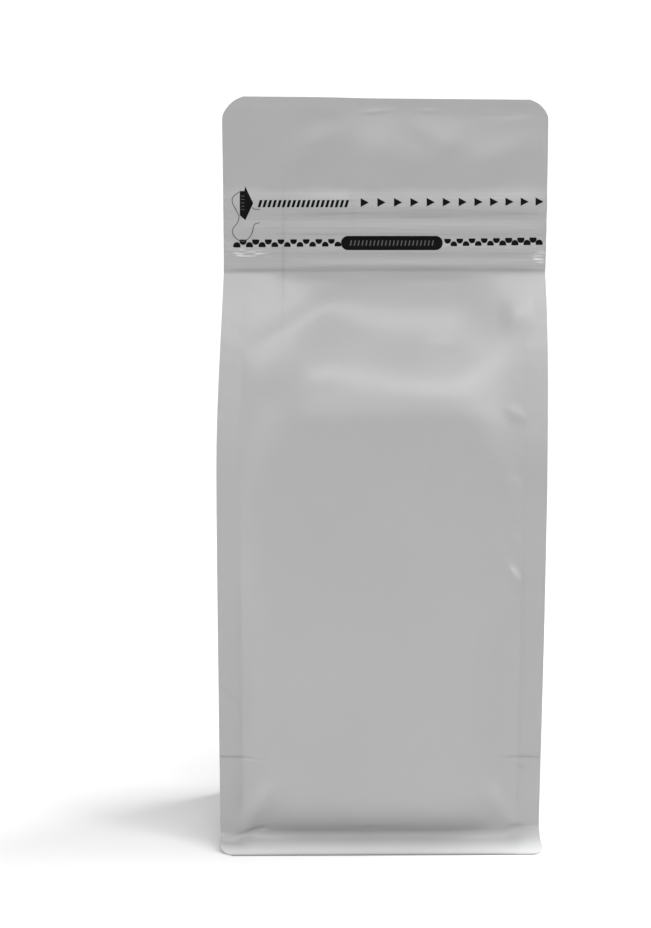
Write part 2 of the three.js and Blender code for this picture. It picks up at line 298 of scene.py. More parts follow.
# The grid's levels, finer where the film bends more: where each stretch starts, and the step in it
LEVEL_STEPS = (
    (0.0, 1.2), (14.0, 2.2), (32.0, 3.0), (GUSSET_CREASE - 2, 0.8), (GUSSET_CREASE + 2, 4.3),
    (SHOULDER, 3.0), (NECK, 1.25), (BAND_HIGH + 1, 2.8), (WELD_FROM - 3, 1.1),
)


def level_heights():
    """The heights of all levels, from the floor to the top edge."""
    heights = []
    ends = [start for start, _ in LEVEL_STEPS[1:]] + [HEIGHT]
    for (start, step), end in zip(LEVEL_STEPS, ends):
        count = max(1, round((end - start) / step))
        heights += [lerp(start, end, n / count) for n in range(count)]
    return heights + [HEIGHT]


HEIGHTS = level_heights()
LEVELS = len(HEIGHTS) - 1


def panel_x(i, z):
    """Place across a panel, from a fin's edge to its root and over the body."""
    side = -1 if i < COLUMNS / 2 else 1
    column = min(i, COLUMNS - i)
    if column < FIN_COLUMNS:
        return side * lerp(edge_width(side, z), ROOT, column / FIN_COLUMNS)
    share = 2 * (i - FIN_COLUMNS) / BODY_COLUMNS - 1
    return ROOT * ((1 - COLUMN_CROWDING) * share + COLUMN_CROWDING * math.sin(share * math.pi / 2))


def panel_point(i, k, facing):
    """A point of the front panel, where facing is -1, or of the back panel, where it is 1."""
    z = HEIGHTS[k]
    x = panel_x(i, z)
    return Vector((x, facing * panel_depth(x, z), z - slant(x, z)))


def side_point(j, k, side):
    """A point of the left side, where side is -1, or of the right side, where it is 1."""
    z = HEIGHTS[k]
    facing = -1 if j < DEPTH_LINES / 2 else 1
    line = min(j, DEPTH_LINES - j)
    edge = side * edge_width(side, z)
    depth = fin_depth(edge, z)
    inner = depth - min(FIN_THICKNESS, depth / 2)
    down = slant(edge, z)
    if line < FIN_LINES:
        share = (line - 1) / (FIN_LINES - 1)
        x = lerp(edge, side * side_width(side, 1, z), share)
        welded = WELD_LINES * smooth(SLIT_CLOSES, WELD_FROM, z)
        y = lerp(inner, depth, welded * (1 - share)) + lip_spread(edge, z) * (1 - share)
        return Vector((x, facing * y, z - down))
    q = 2 * (j - FIN_LINES) / SIDE_COLUMNS - 1
    lowest = LOWEST_ROOT if line == FIN_LINES else 0.0
    return Vector((side * side_width(side, q, z), q * inner, max(z, lowest) - down))


def base_point(i, j):
    """A point of the base: up behind the lip and the sides, and flat on the floor inside them."""
    facing = -1 if j < DEPTH_LINES / 2 else 1
    side = -1 if i < COLUMNS / 2 else 1
    line = min(j, DEPTH_LINES - j)
    column = min(i, COLUMNS - i)
    x = panel_x(i, 0)
    root = BASE_RISE * lip_height(x)
    if line < FIN_LINES:
        inward = (line - 1) / (FIN_LINES - 1)
        y = FOOT_DEPTH + LIP_REACH * (1 - inward) - FIN_THICKNESS
        return Vector((x, facing * y, root * inward * BASE_LIP_RISE))
    q = 2 * (j - FIN_LINES) / SIDE_COLUMNS - 1
    y = q * (FOOT_DEPTH - FIN_THICKNESS)
    edge = side_width(side, q, 0)
    rise = min(1.0, column / (FIN_COLUMNS + 1))
    if column <= FIN_COLUMNS + 1:
        outer = LOWEST_ROOT if line == FIN_LINES else 0.0
        inner = root if line == FIN_LINES else BASE_SIDE_RISE * root
        return Vector((side * (edge - FIN_THICKNESS * rise), y, lerp(outer, inner, rise)))
    inward = (column - FIN_COLUMNS - 1) / (COLUMNS / 2 - FIN_COLUMNS - 1)
    x = side * lerp(edge - FIN_THICKNESS, 0, inward)
    return Vector((x, y, root if line == FIN_LINES else 0.0))


def top_point(i, j):
    """A point of the cut edge along the top."""
    x = panel_x(i, HEIGHT)
    return Vector((x, lerp(-TOP_WELD_DEPTH, TOP_WELD_DEPTH, j / DEPTH_LINES), HEIGHT - slant(x, HEIGHT)))


def film_point(i, j, k):
    """Where a grid point of the film lies on the standing pouch."""
    if k == LEVELS:
        point = top_point(i, j)
    elif j == 0:
        point = panel_point(i, k, -1)
    elif j == DEPTH_LINES:
        point = panel_point(i, k, 1)
    elif i == 0:
        point = side_point(j, k, -1)
    elif i == COLUMNS:
        point = side_point(j, k, 1)
    else:
        point = base_point(i, j)
    point.y -= curl_at(point.x, point.z)
    point.x += lean_at(point.z)
    return point


def box_grid(columns, lines, levels):
    """The surface of a box, cut into a grid. A corner point's place is its three line numbers."""
    grid = bmesh.new()
    bmesh.ops.create_cube(grid, size=1.0)
    bmesh.ops.translate(grid, verts=grid.verts, vec=(0.5, 0.5, 0.5))
    bmesh.ops.scale(grid, verts=grid.verts, vec=(columns, lines, levels))
    for axis, count in enumerate((columns, lines, levels)):
        along = [e for e in grid.edges if abs((e.verts[0].co - e.verts[1].co)[axis]) > 0.5]
        bmesh.ops.subdivide_edges(grid, edges=along, cuts=count - 1, use_grid_fill=True)
    return grid


def new_object(name, shape, material):
    """Turns a bmesh shape into an object of the scene, and frees the shape."""
    mesh = bpy.data.meshes.new(name)
    shape.normal_update()
    shape.to_mesh(mesh)
    shape.free()
    mesh.materials.append(material)
    mesh.shade_smooth()
    piece = bpy.data.objects.new(name, mesh)
    bpy.context.scene.collection.objects.link(piece)
    return piece


def apply_modifiers(piece):
    """Keeps the mesh that the piece's modifiers make, and drops the modifiers."""
    graph = bpy.context.evaluated_depsgraph_get()
    shaped = bpy.data.meshes.new_from_object(piece.evaluated_get(graph), depsgraph=graph)
    piece.modifiers.clear()
    piece.data = shaped


# -------- Relief pressed and folded into the film

BAND_CRISP = ((-40.0, -52.0), (50.0, 62.0))  # places across between which the band's step gets lower
FLARE_MIDDLE = (14.0, 22.0)  # the film above the band settles most slowly here: place across, and width
FLARE_CURVE = (2.0, 1.0)  # how it settles, at the ends and in the middle: 1 is a straight slope
LOST_ON_FINS = 0.5  # share of the band's relief that is lost on the fins
BACK_SHARE = 0.35  # share of it that shows on the back

# Ribs of the zipper and its tapes: heights of the low edge, the crest's two edges and the top edge,
# lift, and the share of the lift at the left end
RIBS = (
    (261.6, 263.2, 263.4, 266.6, 0.5, 0.3),
    (266.4, 269.8, 271.0, 274.6, 0.75, 0.9),
    (274.8, 278.6, 279.2, 284.4, 0.85, 0.5),
    (283.6, 288.8, 289.2, 299.0, 1.9, 0.6),
)
RIB_LEFT = (-52.0, -30.0)  # places across between which the lift changes to that of the left end
RIB_WAVE = 0.4  # share by which the lift changes along a rib
RIB_WAVE_LENGTH = 26.0  # and the length of these changes

# Where the sealing bars have crushed the film: place across, half width, height and half height
CRUSH_MARKS = ((-62.0, 9.0, 268.6, 1.8), (69.5, 3.0, 268.0, 4.2))
CRUMPLE = 0.16  # height of the fine crumples there
CRUMPLE_SIZE = 1.6  # and their size

# Folds in the front, each a ridge from one point to another: place across and height of both ends,
# width, and height of the ridge, where a dent is negative
HEAD_FOLDS = (
    ((-60, 301), (-8, 329), 7.0, 1.6),
    ((-10, 296), (2, 333), 9.0, 1.5),
    ((30, 304), (74, 320), 7.0, 1.2),
    ((36, 332), (16, 296), 7.0, 1.0),
    ((2, 330), (40, 312), 5.0, 0.8),
    ((-24, 293), (-12, 304), 3.2, -0.8),
    ((-14, 330.2), (6, 332.2), 0.9, 0.4),
    ((14, 331.2), (26, 331.6), 0.8, 0.3),
    ((36, 331.5), (66, 330), 2.5, -0.5),
)
SHOULDER_FOLDS = (
    ((-52, 257), (-12, 257), 3.0, -0.5),
    ((51, 240), (68, 242), 6.0, 1.3),
    ((-4, 257.5), (50, 257), 2.6, -0.5),
    ((-38, 203), (-12, 213), 6.0, -0.7),
    ((2, 206), (42, 209), 9.0, 0.5),
    ((18, 229), (34, 228), 1.6, -0.3),
)
EDGE_FOLDS = (
    ((54, 203), (64, 195), 2.2, 0.8),
    ((54, 172), (64, 164), 2.2, 0.8),
    ((54.5, 159), (63.5, 153), 1.9, 0.7),
    ((54, 148), (64, 140), 2.1, 0.8),
    ((53.5, 134), (63.5, 121), 2.1, 1.0),
    ((57, 92), (63.5, 86), 1.8, 0.35),
    ((-64, 128), (-57, 122), 1.8, 0.4),
    ((-63.5, 90), (-54, 70), 2.0, 0.5),
    ((-58.5, 92), (-57.5, 45), 3.5, -0.7),
    ((-50, 8), (-50.5, 122), 5.5, 0.9),
    ((44, 8), (44, 170), 7.0, 1.0),
)
FOOT_FOLDS = (
    ((-63.5, 7), (-44, 38), 4.0, 1.5),
    ((63, 7.5), (44, 35), 4.2, 1.4),
    ((-64.5, 5.6), (-49, 10.6), 1.1, -1.0),
    ((-11, 10.6), (2, 9.6), 1.0, -0.7),
    ((-8, 9), (-6.5, 22), 3.5, 0.5),
    ((58, 8.6), (66, 10.2), 1.0, -0.5),
    ((64, 7.6), (73, 9.6), 0.7, 0.35),
    ((-75, 4.6), (-61, 3.2), 0.7, -0.5),
)
FIN_CREASES = (
    ((-81, 43.2), (-56, 42.9), 0.55, -0.5),
    ((-64, 42.6), (-48, 43.4), 0.5, -0.14),
    ((52, 43.2), (80, 42.4), 0.55, -0.45),
    ((60, 44.2), (76, 43.7), 0.4, -0.12),
    ((-73, 78.5), (-62, 67), 0.8, -0.3),
    ((-75, 106.8), (-69, 106.2), 0.6, -0.2),
    ((61, 39.5), (66, 37), 0.8, -0.25),
)
BAND_CREASES = (
    ((-45.8, 238), (-45.8, 300), 1.5, -0.5),
    ((-15.5, 282), (-15.3, 296), 0.9, -0.22),
    ((27.6, 279), (27.4, 297), 1.2, -0.25),
    ((-74, 269.6), (-62, 269.2), 0.5, 0.3),
    ((-60, 268.6), (-50, 268.3), 0.5, 0.25),
)
FRONT_FOLDS = HEAD_FOLDS + SHOULDER_FOLDS + EDGE_FOLDS + FOOT_FOLDS + FIN_CREASES + BAND_CREASES

# Dents that are steep above and slow below
STEEP_FOLDS = (
    ((-62.5, 224), (-8, 254), 6.0, -1.9),
    ((-46, 238), (-18, 252), 3.0, -0.5),
    ((2, 213), (62, 222), 11.0, -0.9),
)
STEEPNESS = 2.6
FOLD_ENDS = 1.3  # how soon a fold grows from its ends

# Slow waves: height and length in each part, and the heights between which they rise and fall
HEAD_WAVE = (0.45, 19.0)
HEAD_SPAN = (BAND_HIGH, BAND_HIGH + 8, WELD_FROM - 4, WELD_FROM)
BODY_WAVE = (0.12, 27.0)
BODY_SPAN = (LIP_HEIGHT, 30.0, NECK - 12, NECK)
BODY_MARGIN = 4.0  # they fade over this width towards a fin's root
BEND_WAVE = 0.8  # extra height at the bend of the shoulder
BEND = (212.0, 20.0)  # height and width of that bend
FIN_WAVE = (0.35, 21.0)
FIN_SPAN = (16.0, 40.0, BAND_LOW - 20, BAND_LOW)
FIN_MARGIN = (1.0, 2.0)  # they set in from this far inside a fin's root to this far outside
FIN_STRETCH = 3  # they are this much longer across
FIN_CRINKLE = (0.14, 4.5)  # small waves in the welded fins

# The groove along the line where a fin's weld ends and the filled body begins
WELD_GROOVE = 0.35  # its depth
GROOVE_WIDTH = 0.7
GROOVE_RISES = (14.0, 24.0)  # heights between which it begins
GROOVE_FADES = ((95.0, 150.0, 0.75), (215.0, 235.0, 0.25))  # heights between which it fades, and how much

# Painted shade along sharp creases, drawn as dark lines: both ends, width, and darkness from 0 to 1
CREASE_SHADE = (
    ((-45.8, 226), (-45.8, 308), 0.9, 0.28),
    ((-15.5, 276), (-15.5, 300), 0.9, 0.2),
    ((-81, 43.2), (-56, 42.9), 0.5, 0.5),
    ((52, 43.2), (80, 42.4), 0.5, 0.45),
    ((-73, 78.5), (-62, 67), 0.7, 0.25),
    ((-76, 106.8), (-67, 106.2), 0.6, 0.25),
    ((60, 39.8), (67, 36.6), 0.7, 0.3),
    ((-76, 4.8), (-50, 8.0), 0.7, 0.4),
    ((56, 8.0), (68, 10.4), 0.7, 0.4),
)
WELD_GROOVE_SHADE = 0.13  # painted shade in the groove along a fin's root
FIN_SHADE = 0.1  # painted shade on the welded fins low down
FIN_SHADE_MARGIN = 1.0  # it sets in over this width on both sides of a fin's root
FIN_SHADE_FADES = (90.0, 150.0)  # heights between which it fades

BACK_FOLDS = (
    ((-60, 322), (0, 300), 7.0, 1.0),
    ((10, 300), (60, 326), 7.0, 0.9),
    ((-62, 252), (-30, 215), 4.0, 0.9),
    ((62, 250), (28, 218), 4.0, 0.8),
    ((-63.5, 8), (-46, 32), 2.6, 0.8),
    ((63.5, 8), (46, 32), 2.6, 0.8),
    ((-76, 43), (-52, 43), 0.55, -0.4),
    ((52, 43), (76, 43), 0.55, -0.4),
)

# The base's triangle, folded up the side gussets, and slow waves where a gusset folds
TRIANGLE_DEPTH = 0.5
TRIANGLE_SHARPNESS = 20.0
TRIANGLE_RISES = (2.0, 8.0)  # heights between which its crease begins
SIDE_WAVE = (0.5, 24.0)
SIDE_SPAN = (20.0, 60.0, 200.0, 250.0)

# Where the noise of each relief is taken from
RIB_SEED = 3.1
CRUMPLE_SEED = 11.3
SIDE_SEED = 4.2
FRONT_SEED = 1.7
BACK_SEED = 7.4
HEAD_SEED, BODY_SEED, FIN_SEED, CRINKLE_SEED = 0, 5, 9, 13  # added to the front's or the back's


def along_fold(u, z, start, end, upper_width, lower_width):
    """A soft ridge of height 1 along a straight line on the film, running out at its ends."""
    line_u, line_z = end[0] - start[0], end[1] - start[1]
    length = math.hypot(line_u, line_z)
    share = ((u - start[0]) * line_u + (z - start[1]) * line_z) / length ** 2
    if share <= 0 or share >= 1:
        return 0.0
    below = ((u - start[0]) * line_z - (z - start[1]) * line_u) / length
    width = lower_width if below > 0 else upper_width
    return math.exp(-(below / width) ** 2) * math.sin(math.pi * share) ** FOLD_ENDS


def folds_at(u, z, folds, lower=1.0):
    """All the folds of a table. Below its ridge a fold is wider by the factor lower."""
    return sum(
        height * along_fold(u, z, start, end, width, width * lower) for start, end, width, height in folds
    )


def cloud(u, z, scale, seed):
    """Smooth noise from -1 to 1, whose waves are about as long as the scale."""
    return noise.noise(Vector((u / scale, z / scale, seed)))


def waves(u, z, wave, seed):
    """Uneven waves, as high and as long as the wave says."""
    height, length = wave
    return height * cloud(u, z, length, seed)


def zipper_relief(u, z):
    """The band that the zipper presses into the front. Above it the film settles back."""
    step = lerp(*BAND_STEP, max(smooth(*end, u) for end in BAND_CRISP))
    middle = bell(*FLARE_MIDDLE, u)
    flare_top = BAND_HIGH + lerp(*BAND_FLARE, middle)
    settles = (1 - ramp(BAND_HIGH, flare_top, z)) ** lerp(*FLARE_CURVE, middle)
    lift = BAND_LIFT * smooth(BAND_LOW - step / 2, BAND_LOW + step / 2, z) * settles
    for low_edge, crest_from, crest_to, top_edge, height, at_left in RIBS:
        wave = 1 + RIB_WAVE * cloud(u, crest_from, RIB_WAVE_LENGTH, RIB_SEED)
        rib = height * lerp(at_left, 1, smooth(*RIB_LEFT, u)) * wave
        lift += rib * within((low_edge, crest_from, crest_to, top_edge), z)
    return lift * (1 - LOST_ON_FINS * smooth(ROOT, HALF_WIDTH, abs(u)))


def crushed(u, z):
    """Where the sealing bars have crushed the film: the two ends of the zipper."""
    return max(bell(place, width, u) * bell(level, height, z) for place, width, level, height in CRUSH_MARKS)


def weld_border(u, z):
    """1 along the line where a fin's weld ends and the filled body begins."""
    faded = sum(part * smooth(start, end, z) for start, end, part in GROOVE_FADES)
    return bell(ROOT, GROOVE_WIDTH, abs(u)) * smooth(*GROOVE_RISES, z) * (1 - faded)


def painted_shade_at(u, z):
    """Painted shade, from 0 to 1: along creases, in the groove along a fin's root, and on the welded fins
    low down.
    """
    on_fin = smooth(ROOT - FIN_SHADE_MARGIN, ROOT + FIN_SHADE_MARGIN, abs(u))
    shade = FIN_SHADE * on_fin * (1 - smooth(*FIN_SHADE_FADES, z))
    return clamp(folds_at(u, z, CREASE_SHADE) + WELD_GROOVE_SHADE * weld_border(u, z) + shade)


def unevenness(u, z, seed):
    """Film is never quite flat: slow waves in the slack head, over the filling and along the fins."""
    head = within(HEAD_SPAN, z) * waves(u, z, HEAD_WAVE, seed + HEAD_SEED)
    body = within(BODY_SPAN, z) * (1 - smooth(ROOT - BODY_MARGIN, ROOT, abs(u)))
    body_height, body_length = BODY_WAVE
    body *= (body_height + BEND_WAVE * bell(*BEND, z)) * cloud(u, z, body_length, seed + BODY_SEED)
    fins = within(FIN_SPAN, z) * smooth(ROOT - FIN_MARGIN[0], ROOT + FIN_MARGIN[1], abs(u))
    crinkle = waves(u, z, FIN_CRINKLE, seed + CRINKLE_SEED)
    fins *= waves(u / FIN_STRETCH, z, FIN_WAVE, seed + FIN_SEED) + crinkle
    return head + body + fins - WELD_GROOVE * weld_border(u, z)


def front_relief(u, z):
    """How far the front film lies outside its smooth form."""
    crumple = CRUMPLE * crushed(u, z) * cloud(u / 2, z, CRUMPLE_SIZE, CRUMPLE_SEED)
    return (
        zipper_relief(u, z) + folds_at(u, z, FRONT_FOLDS) + folds_at(u, z, STEEP_FOLDS, STEEPNESS)
        + unevenness(u, z, FRONT_SEED) + crumple
    )


def back_relief(u, z):
    """The same for the back film, where the zipper shows mirrored and weaker."""
    return BACK_SHARE * zipper_relief(-u, z) + folds_at(u, z, BACK_FOLDS) + unevenness(u, z, BACK_SEED)


def side_relief(y, z):
    """The same for a side gusset: the base's folded triangle, and slow waves where the gusset folds."""
    from_crease = (abs(y) / HALF_SIDE + z / GUSSET_CREASE - 1) * TRIANGLE_SHARPNESS
    crease = TRIANGLE_DEPTH * math.exp(-from_crease ** 2) * smooth(*TRIANGLE_RISES, z)
    return within(SIDE_SPAN, z) * waves(y, z, SIDE_WAVE, SIDE_SEED) - crease


# -------- Materials

# Noise patterns: scale and detail
CLOUDS = (22, 3)
GRAIN = (2600, 2)
FLECKS = (1100, 3)
STREAKS = (700, 2)
FLECK_STRETCH = (0.14, 1.0, 1.0)  # below 1 a pattern is drawn out along that axis
STREAK_STRETCH = (0.035, 1.0, 1.0)
FLECK_EDGE = (0.52, 0.72)  # noise values between which a fleck turns white
NOISE_MIDDLE = 0.5

FILM_COLOR = (0.263, 0.263, 0.266)
FILM_ROUGHNESS = 0.36
FILM_SHEEN_CHANGE = 0.12  # how much the clouds change that roughness
FILM_CLOUDS = 0.05  # how much the clouds and the grain change the colour
FILM_GRAIN = 0.05
# Colours laid over the film: painted shade along creases and fins, painted light on the lips, and a painted
# contact shadow (cut) along their lower edge
MARK_COLORS = (
    ("painted_shade", (0.17, 0.17, 0.172, 1)),
    ("painted_lip_light", (0.48, 0.48, 0.484, 1)),
    ("cut", (0.07, 0.07, 0.072, 1)),
)
CRUSHED_COLOR = (0.62, 0.62, 0.63, 1)
GRAIN_BUMP = (0.25, 0.03)  # strength, and height in mm
STREAK_BUMP = (1.0, 0.35)

INK_BLACK = (0.003, 0.003, 0.0032)
INK_GREY = (0.06, 0.06, 0.062)
INK_ROUGHNESS = 0.5
INK_SHEEN_CHANGE = 0.15
INK_SPECULAR = 0.04
INK_CLOUDS = 0.3
INK_GRAIN = 0.25


def new_material(name):
    """A material with its node tree and its main shader."""
    material = bpy.data.materials.new(name)
    material.use_nodes = True
    return material, material.node_tree, material.node_tree.nodes["Principled BSDF"]


def value_socket(tree, name, default=None):
    """A number that goes into a node group, or out of it where it has no default."""
    in_out = "OUTPUT" if default is None else "INPUT"
    socket = tree.interface.new_socket(name=name, in_out=in_out, socket_type="NodeSocketFloat")
    if default is not None:
        socket.default_value = default


def object_place(tree):
    """The place on an object, in metres."""
    return tree.nodes.new("ShaderNodeTexCoord").outputs["Object"]


def stretched(tree, vector, scale):
    """A place for a pattern, scaled along each axis."""
    node = tree.nodes.new("ShaderNodeMapping")
    node.inputs["Scale"].default_value = scale
    tree.links.new(vector, node.inputs["Vector"])
    return node.outputs["Vector"]


def noise_node(tree, vector, scale, detail):
    node = tree.nodes.new("ShaderNodeTexNoise")
    node.inputs["Scale"].default_value = scale
    node.inputs["Detail"].default_value = detail
    tree.links.new(vector, node.inputs["Vector"])
    return node.outputs["Fac"]


def math_node(tree, operation, first, second):
    """A sum, difference or product of two values, each a number or a socket."""
    node = tree.nodes.new("ShaderNodeMath")
    node.operation = operation
    for socket, value in zip(node.inputs, (first, second)):
        if isinstance(value, (int, float)):
            socket.default_value = value
        else:
            tree.links.new(value, socket)
    return node.outputs["Value"]


def build_matte_skin():
    """Group: slow cloudiness and fine grain of a matt lacquer, as factors and as a height."""
    tree = bpy.data.node_groups.new("matte_skin", "ShaderNodeTree")
    value_socket(tree, "Cloud Depth", 0.02)
    value_socket(tree, "Grain Depth", 0.02)
    value_socket(tree, "Shade")
    value_socket(tree, "Sheen Change")
    value_socket(tree, "Height")
    given = tree.nodes.new("NodeGroupInput")
    made = tree.nodes.new("NodeGroupOutput")
    place = object_place(tree)
    slow = math_node(tree, "SUBTRACT", noise_node(tree, place, *CLOUDS), NOISE_MIDDLE)
    grain = math_node(tree, "SUBTRACT", noise_node(tree, place, *GRAIN), NOISE_MIDDLE)
    clouds = math_node(tree, "MULTIPLY", slow, given.outputs["Cloud Depth"])
    specks = math_node(tree, "MULTIPLY", grain, given.outputs["Grain Depth"])
    shade = math_node(tree, "ADD", math_node(tree, "ADD", clouds, specks), 1.0)
    tree.links.new(shade, made.inputs["Shade"])
    tree.links.new(slow, made.inputs["Sheen Change"])
    tree.links.new(grain, made.inputs["Height"])
    return tree


matte_skin = build_matte_skin()


def skin_group(tree, cloud_depth, grain_depth):
    group = tree.nodes.new("ShaderNodeGroup")
    group.node_tree = matte_skin
    group.inputs["Cloud Depth"].default_value = cloud_depth
    group.inputs["Grain Depth"].default_value = grain_depth
    return group


def shaded_color(tree, color, shade):
    """The colour, made lighter or darker by a factor that changes over the surface."""
    node = tree.nodes.new("ShaderNodeVectorMath")
    node.operation = "SCALE"
    node.inputs[0].default_value = color
    tree.links.new(shade, node.inputs["Scale"])
    return node.outputs["Vector"]


def attribute_node(tree, name):
    node = tree.nodes.new("ShaderNodeAttribute")
    node.attribute_name = name
    return node.outputs["Fac"]


def mixed_color(tree, factor, under, over):
    """A constant colour over the colour of a socket, as far as the factor says."""
    node = tree.nodes.new("ShaderNodeMix")
    node.data_type = "RGBA"
    tree.links.new(factor, node.inputs["Factor"])
    tree.links.new(under, node.inputs["A"])
    node.inputs["B"].default_value = over
    return node.outputs["Result"]


def bump_node(tree, height, strength, distance):
    """Fine relief in the shading alone. The distance is in millimetres."""
    node = tree.nodes.new("ShaderNodeBump")
    node.inputs["Strength"].default_value = strength
    node.inputs["Distance"].default_value = distance * MM
    tree.links.new(height, node.inputs["Height"])
    return node


def set_roughness(tree, shader, skin, roughness, change):
    """Roughness that changes slowly over the surface, as the lacquer's cloudiness does."""
    changing = math_node(tree, "MULTIPLY", skin.outputs["Sheen Change"], change)
    tree.links.new(math_node(tree, "ADD", changing, roughness), shader.inputs["Roughness"])


def build_film():
    """Matt grey laminate with fine streaks in the zipper band.

    It has painted shade along sharp creases, along the fins' roots and on the fins low down, painted light
    on the lips and a painted contact shadow along their lower edge. It is flecked with white where the
    sealing bars have crushed it.
    """
    material, tree, shader = new_material("film_matte")
    skin = skin_group(tree, FILM_CLOUDS, FILM_GRAIN)
    place = object_place(tree)
    edge = tree.nodes.new("ShaderNodeMapRange")
    edge.inputs["From Min"].default_value = FLECK_EDGE[0]
    edge.inputs["From Max"].default_value = FLECK_EDGE[1]
    tree.links.new(noise_node(tree, stretched(tree, place, FLECK_STRETCH), *FLECKS), edge.inputs["Value"])
    whitened = math_node(tree, "MULTIPLY", edge.outputs["Result"], attribute_node(tree, "crushed"))
    color = shaded_color(tree, FILM_COLOR, skin.outputs["Shade"])
    for mark, mark_color in MARK_COLORS:
        color = mixed_color(tree, attribute_node(tree, mark), color, mark_color)
    color = mixed_color(tree, whitened, color, CRUSHED_COLOR)
    tree.links.new(color, shader.inputs["Base Color"])
    set_roughness(tree, shader, skin, FILM_ROUGHNESS, FILM_SHEEN_CHANGE)
    grain = bump_node(tree, skin.outputs["Height"], *GRAIN_BUMP)
    streaks = noise_node(tree, stretched(tree, place, STREAK_STRETCH), *STREAKS)
    streaks = math_node(tree, "MULTIPLY", streaks, attribute_node(tree, "taped"))
    tape = bump_node(tree, streaks, *STREAK_BUMP)
    tree.links.new(grain.outputs["Normal"], tape.inputs["Normal"])
    tree.links.new(tape.outputs["Normal"], shader.inputs["Normal"])
    return material


def build_ink(name, color):
    """Print under the same matt lacquer."""
    material, tree, shader = new_material(name)
    shader.inputs["Specular IOR Level"].default_value = INK_SPECULAR
    skin = skin_group(tree, INK_CLOUDS, INK_GRAIN)
    tree.links.new(shaded_color(tree, color, skin.outputs["Shade"]), shader.inputs["Base Color"])
    set_roughness(tree, shader, skin, INK_ROUGHNESS, INK_SHEEN_CHANGE)
    return material


film_matte = build_film()
ink_black = build_ink("ink_black", INK_BLACK)
ink_grey = build_ink("ink_grey", INK_GREY)

# -------- The film skin

PANEL_LAYER = "panel"  # 1 on the front panel, -1 on the back panel
ON_PANEL = 0.25  # above this share of it, a point of the fine mesh moves with the panel
SHARP_EDGE = math.radians(50)  # edges that turn by more than this stay sharp
DEEPEST_DENT = 0.3  # share of the half depth that a dent may take
DEEPEST_FIN_DENT = 0.5  # and the depth that it may have on a fin
DENT_BLEND = 5.0  # width over which that changes, inside a fin's root
LIP_LIGHT_TOP = 0.75  # share of the lip's height up to which it gets painted light, paler towards the floor
CONTACT_SHADOW_FADES = (0.1, 0.7)  # heights between which the painted contact shadow along the lips' lower edge ends
TAPED_SPAN = (BAND_LOW - 1, BAND_LOW + 1, BAND_HIGH, BAND_HIGH + 3)  # heights of the streaked band
SIDEWAYS = (0.3, 0.7)  # how far a point of the gusset faces sideways, to take its relief
SIDE_RELIEF_ENDS = (30.0, 36.0)  # depths between which that relief fades towards the fins


def build_film_cage():
    """The film as a coarse closed mesh, with its sharp edges given full crease."""
    grid = box_grid(COLUMNS, DEPTH_LINES, LEVELS)
    panel = grid.verts.layers.float.new(PANEL_LAYER)
    for vert in grid.verts:
        i, j, k = (round(c) for c in vert.co)
        vert.co = film_point(i, j, k) * MM
        vert[panel] = 1.0 if j == 0 else -1.0 if j == DEPTH_LINES else 0.0
    grid.normal_update()
    crease = grid.edges.layers.float.new("crease_edge")
    for edge in grid.edges:
        if abs(edge.calc_face_angle()) > SHARP_EDGE:
            edge[crease] = 1.0
    return new_object("film_skin", grid, film_matte)


def press_relief(film):
    """Moves the film's fine mesh in or out by its relief.

    It also marks for the material the crushed and taped places, the painted shade along creases and fins,
    the painted light on the lips and the painted contact shadow along their lower edge.
    """
    shape = bmesh.new()
    shape.from_mesh(film.data)
    shape.normal_update()
    panel = shape.verts.layers.float[PANEL_LAYER]
    marks = ("crushed", "taped", "painted_shade", "painted_lip_light", "cut")
    crush, taped, painted_shade, lip_light, cut = (shape.verts.layers.float.new(mark) for mark in marks)
    moves = []
    for vert in shape.verts:
        x, y, z = vert.co / MM
        u = x - lean_at(z)
        share = vert[panel]
        # painted light on the lips, paler towards the floor
        vert[lip_light] = abs(share) * (1 - smooth(0, LIP_LIGHT_TOP * lip_height(u), z))
        # painted contact shadow along the lips' lower edge, kept under the name cut
        vert[cut] = abs(share) * (1 - smooth(*CONTACT_SHADOW_FADES, z))
        if share > ON_PANEL:
            moves.append(share * front_relief(u, z))
            vert[crush] = crushed(u, z)
            # painted shade along creases, the fins' roots and the fins low down
            vert[painted_shade] = painted_shade_at(u, z)
            vert[taped] = within(TAPED_SPAN, z)
        elif share < -ON_PANEL:
            moves.append(-share * back_relief(u, z))
        else:
            beside = smooth(*SIDEWAYS, abs(vert.normal.x))
            moves.append(beside * side_relief(y, z) * (1 - smooth(*SIDE_RELIEF_ENDS, abs(y))))
    for vert, move in zip(shape.verts, moves):
        heading = vert.normal.copy()
        x, y, z = vert.co / MM
        on_fin = smooth(ROOT - DENT_BLEND, ROOT, abs(x - lean_at(z)))
        move = max(move, -lerp(DEEPEST_DENT * abs(y), DEEPEST_FIN_DENT, on_fin))
        if abs(vert[panel]) > ON_PANEL:
            heading.x = 0.0
            heading.normalize()
        vert.co += heading * move * MM
        vert.co.z = max(vert.co.z, 0.0)
    shape.to_mesh(film.data)
    shape.free()


film = build_film_cage()
rounding = film.modifiers.new("rounding", "SUBSURF")
rounding.levels = 1
rounding.render_levels = 1
apply_modifiers(film)
press_relief(film)
film.data.shade_smooth()
film.data.set_sharp_from_angle(angle=SHARP_EDGE)

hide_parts("pouch")
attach(film, "root")

# -------- Print on the band

INK_LIFT = 0.06  # how far the print lies in front of the film
INK_THICKNESS = 0.12
INK_CELL = 1.3  # longest edge of the print's mesh, so that it follows the ribs
INK_CUTS = 4  # its longer edges are halved at most this many times
RAY_FROM = -80.0  # the print is laid on the film from this far in front of the middle plane

film_tree = BVHTree.FromObject(film, bpy.context.evaluated_depsgraph_get())


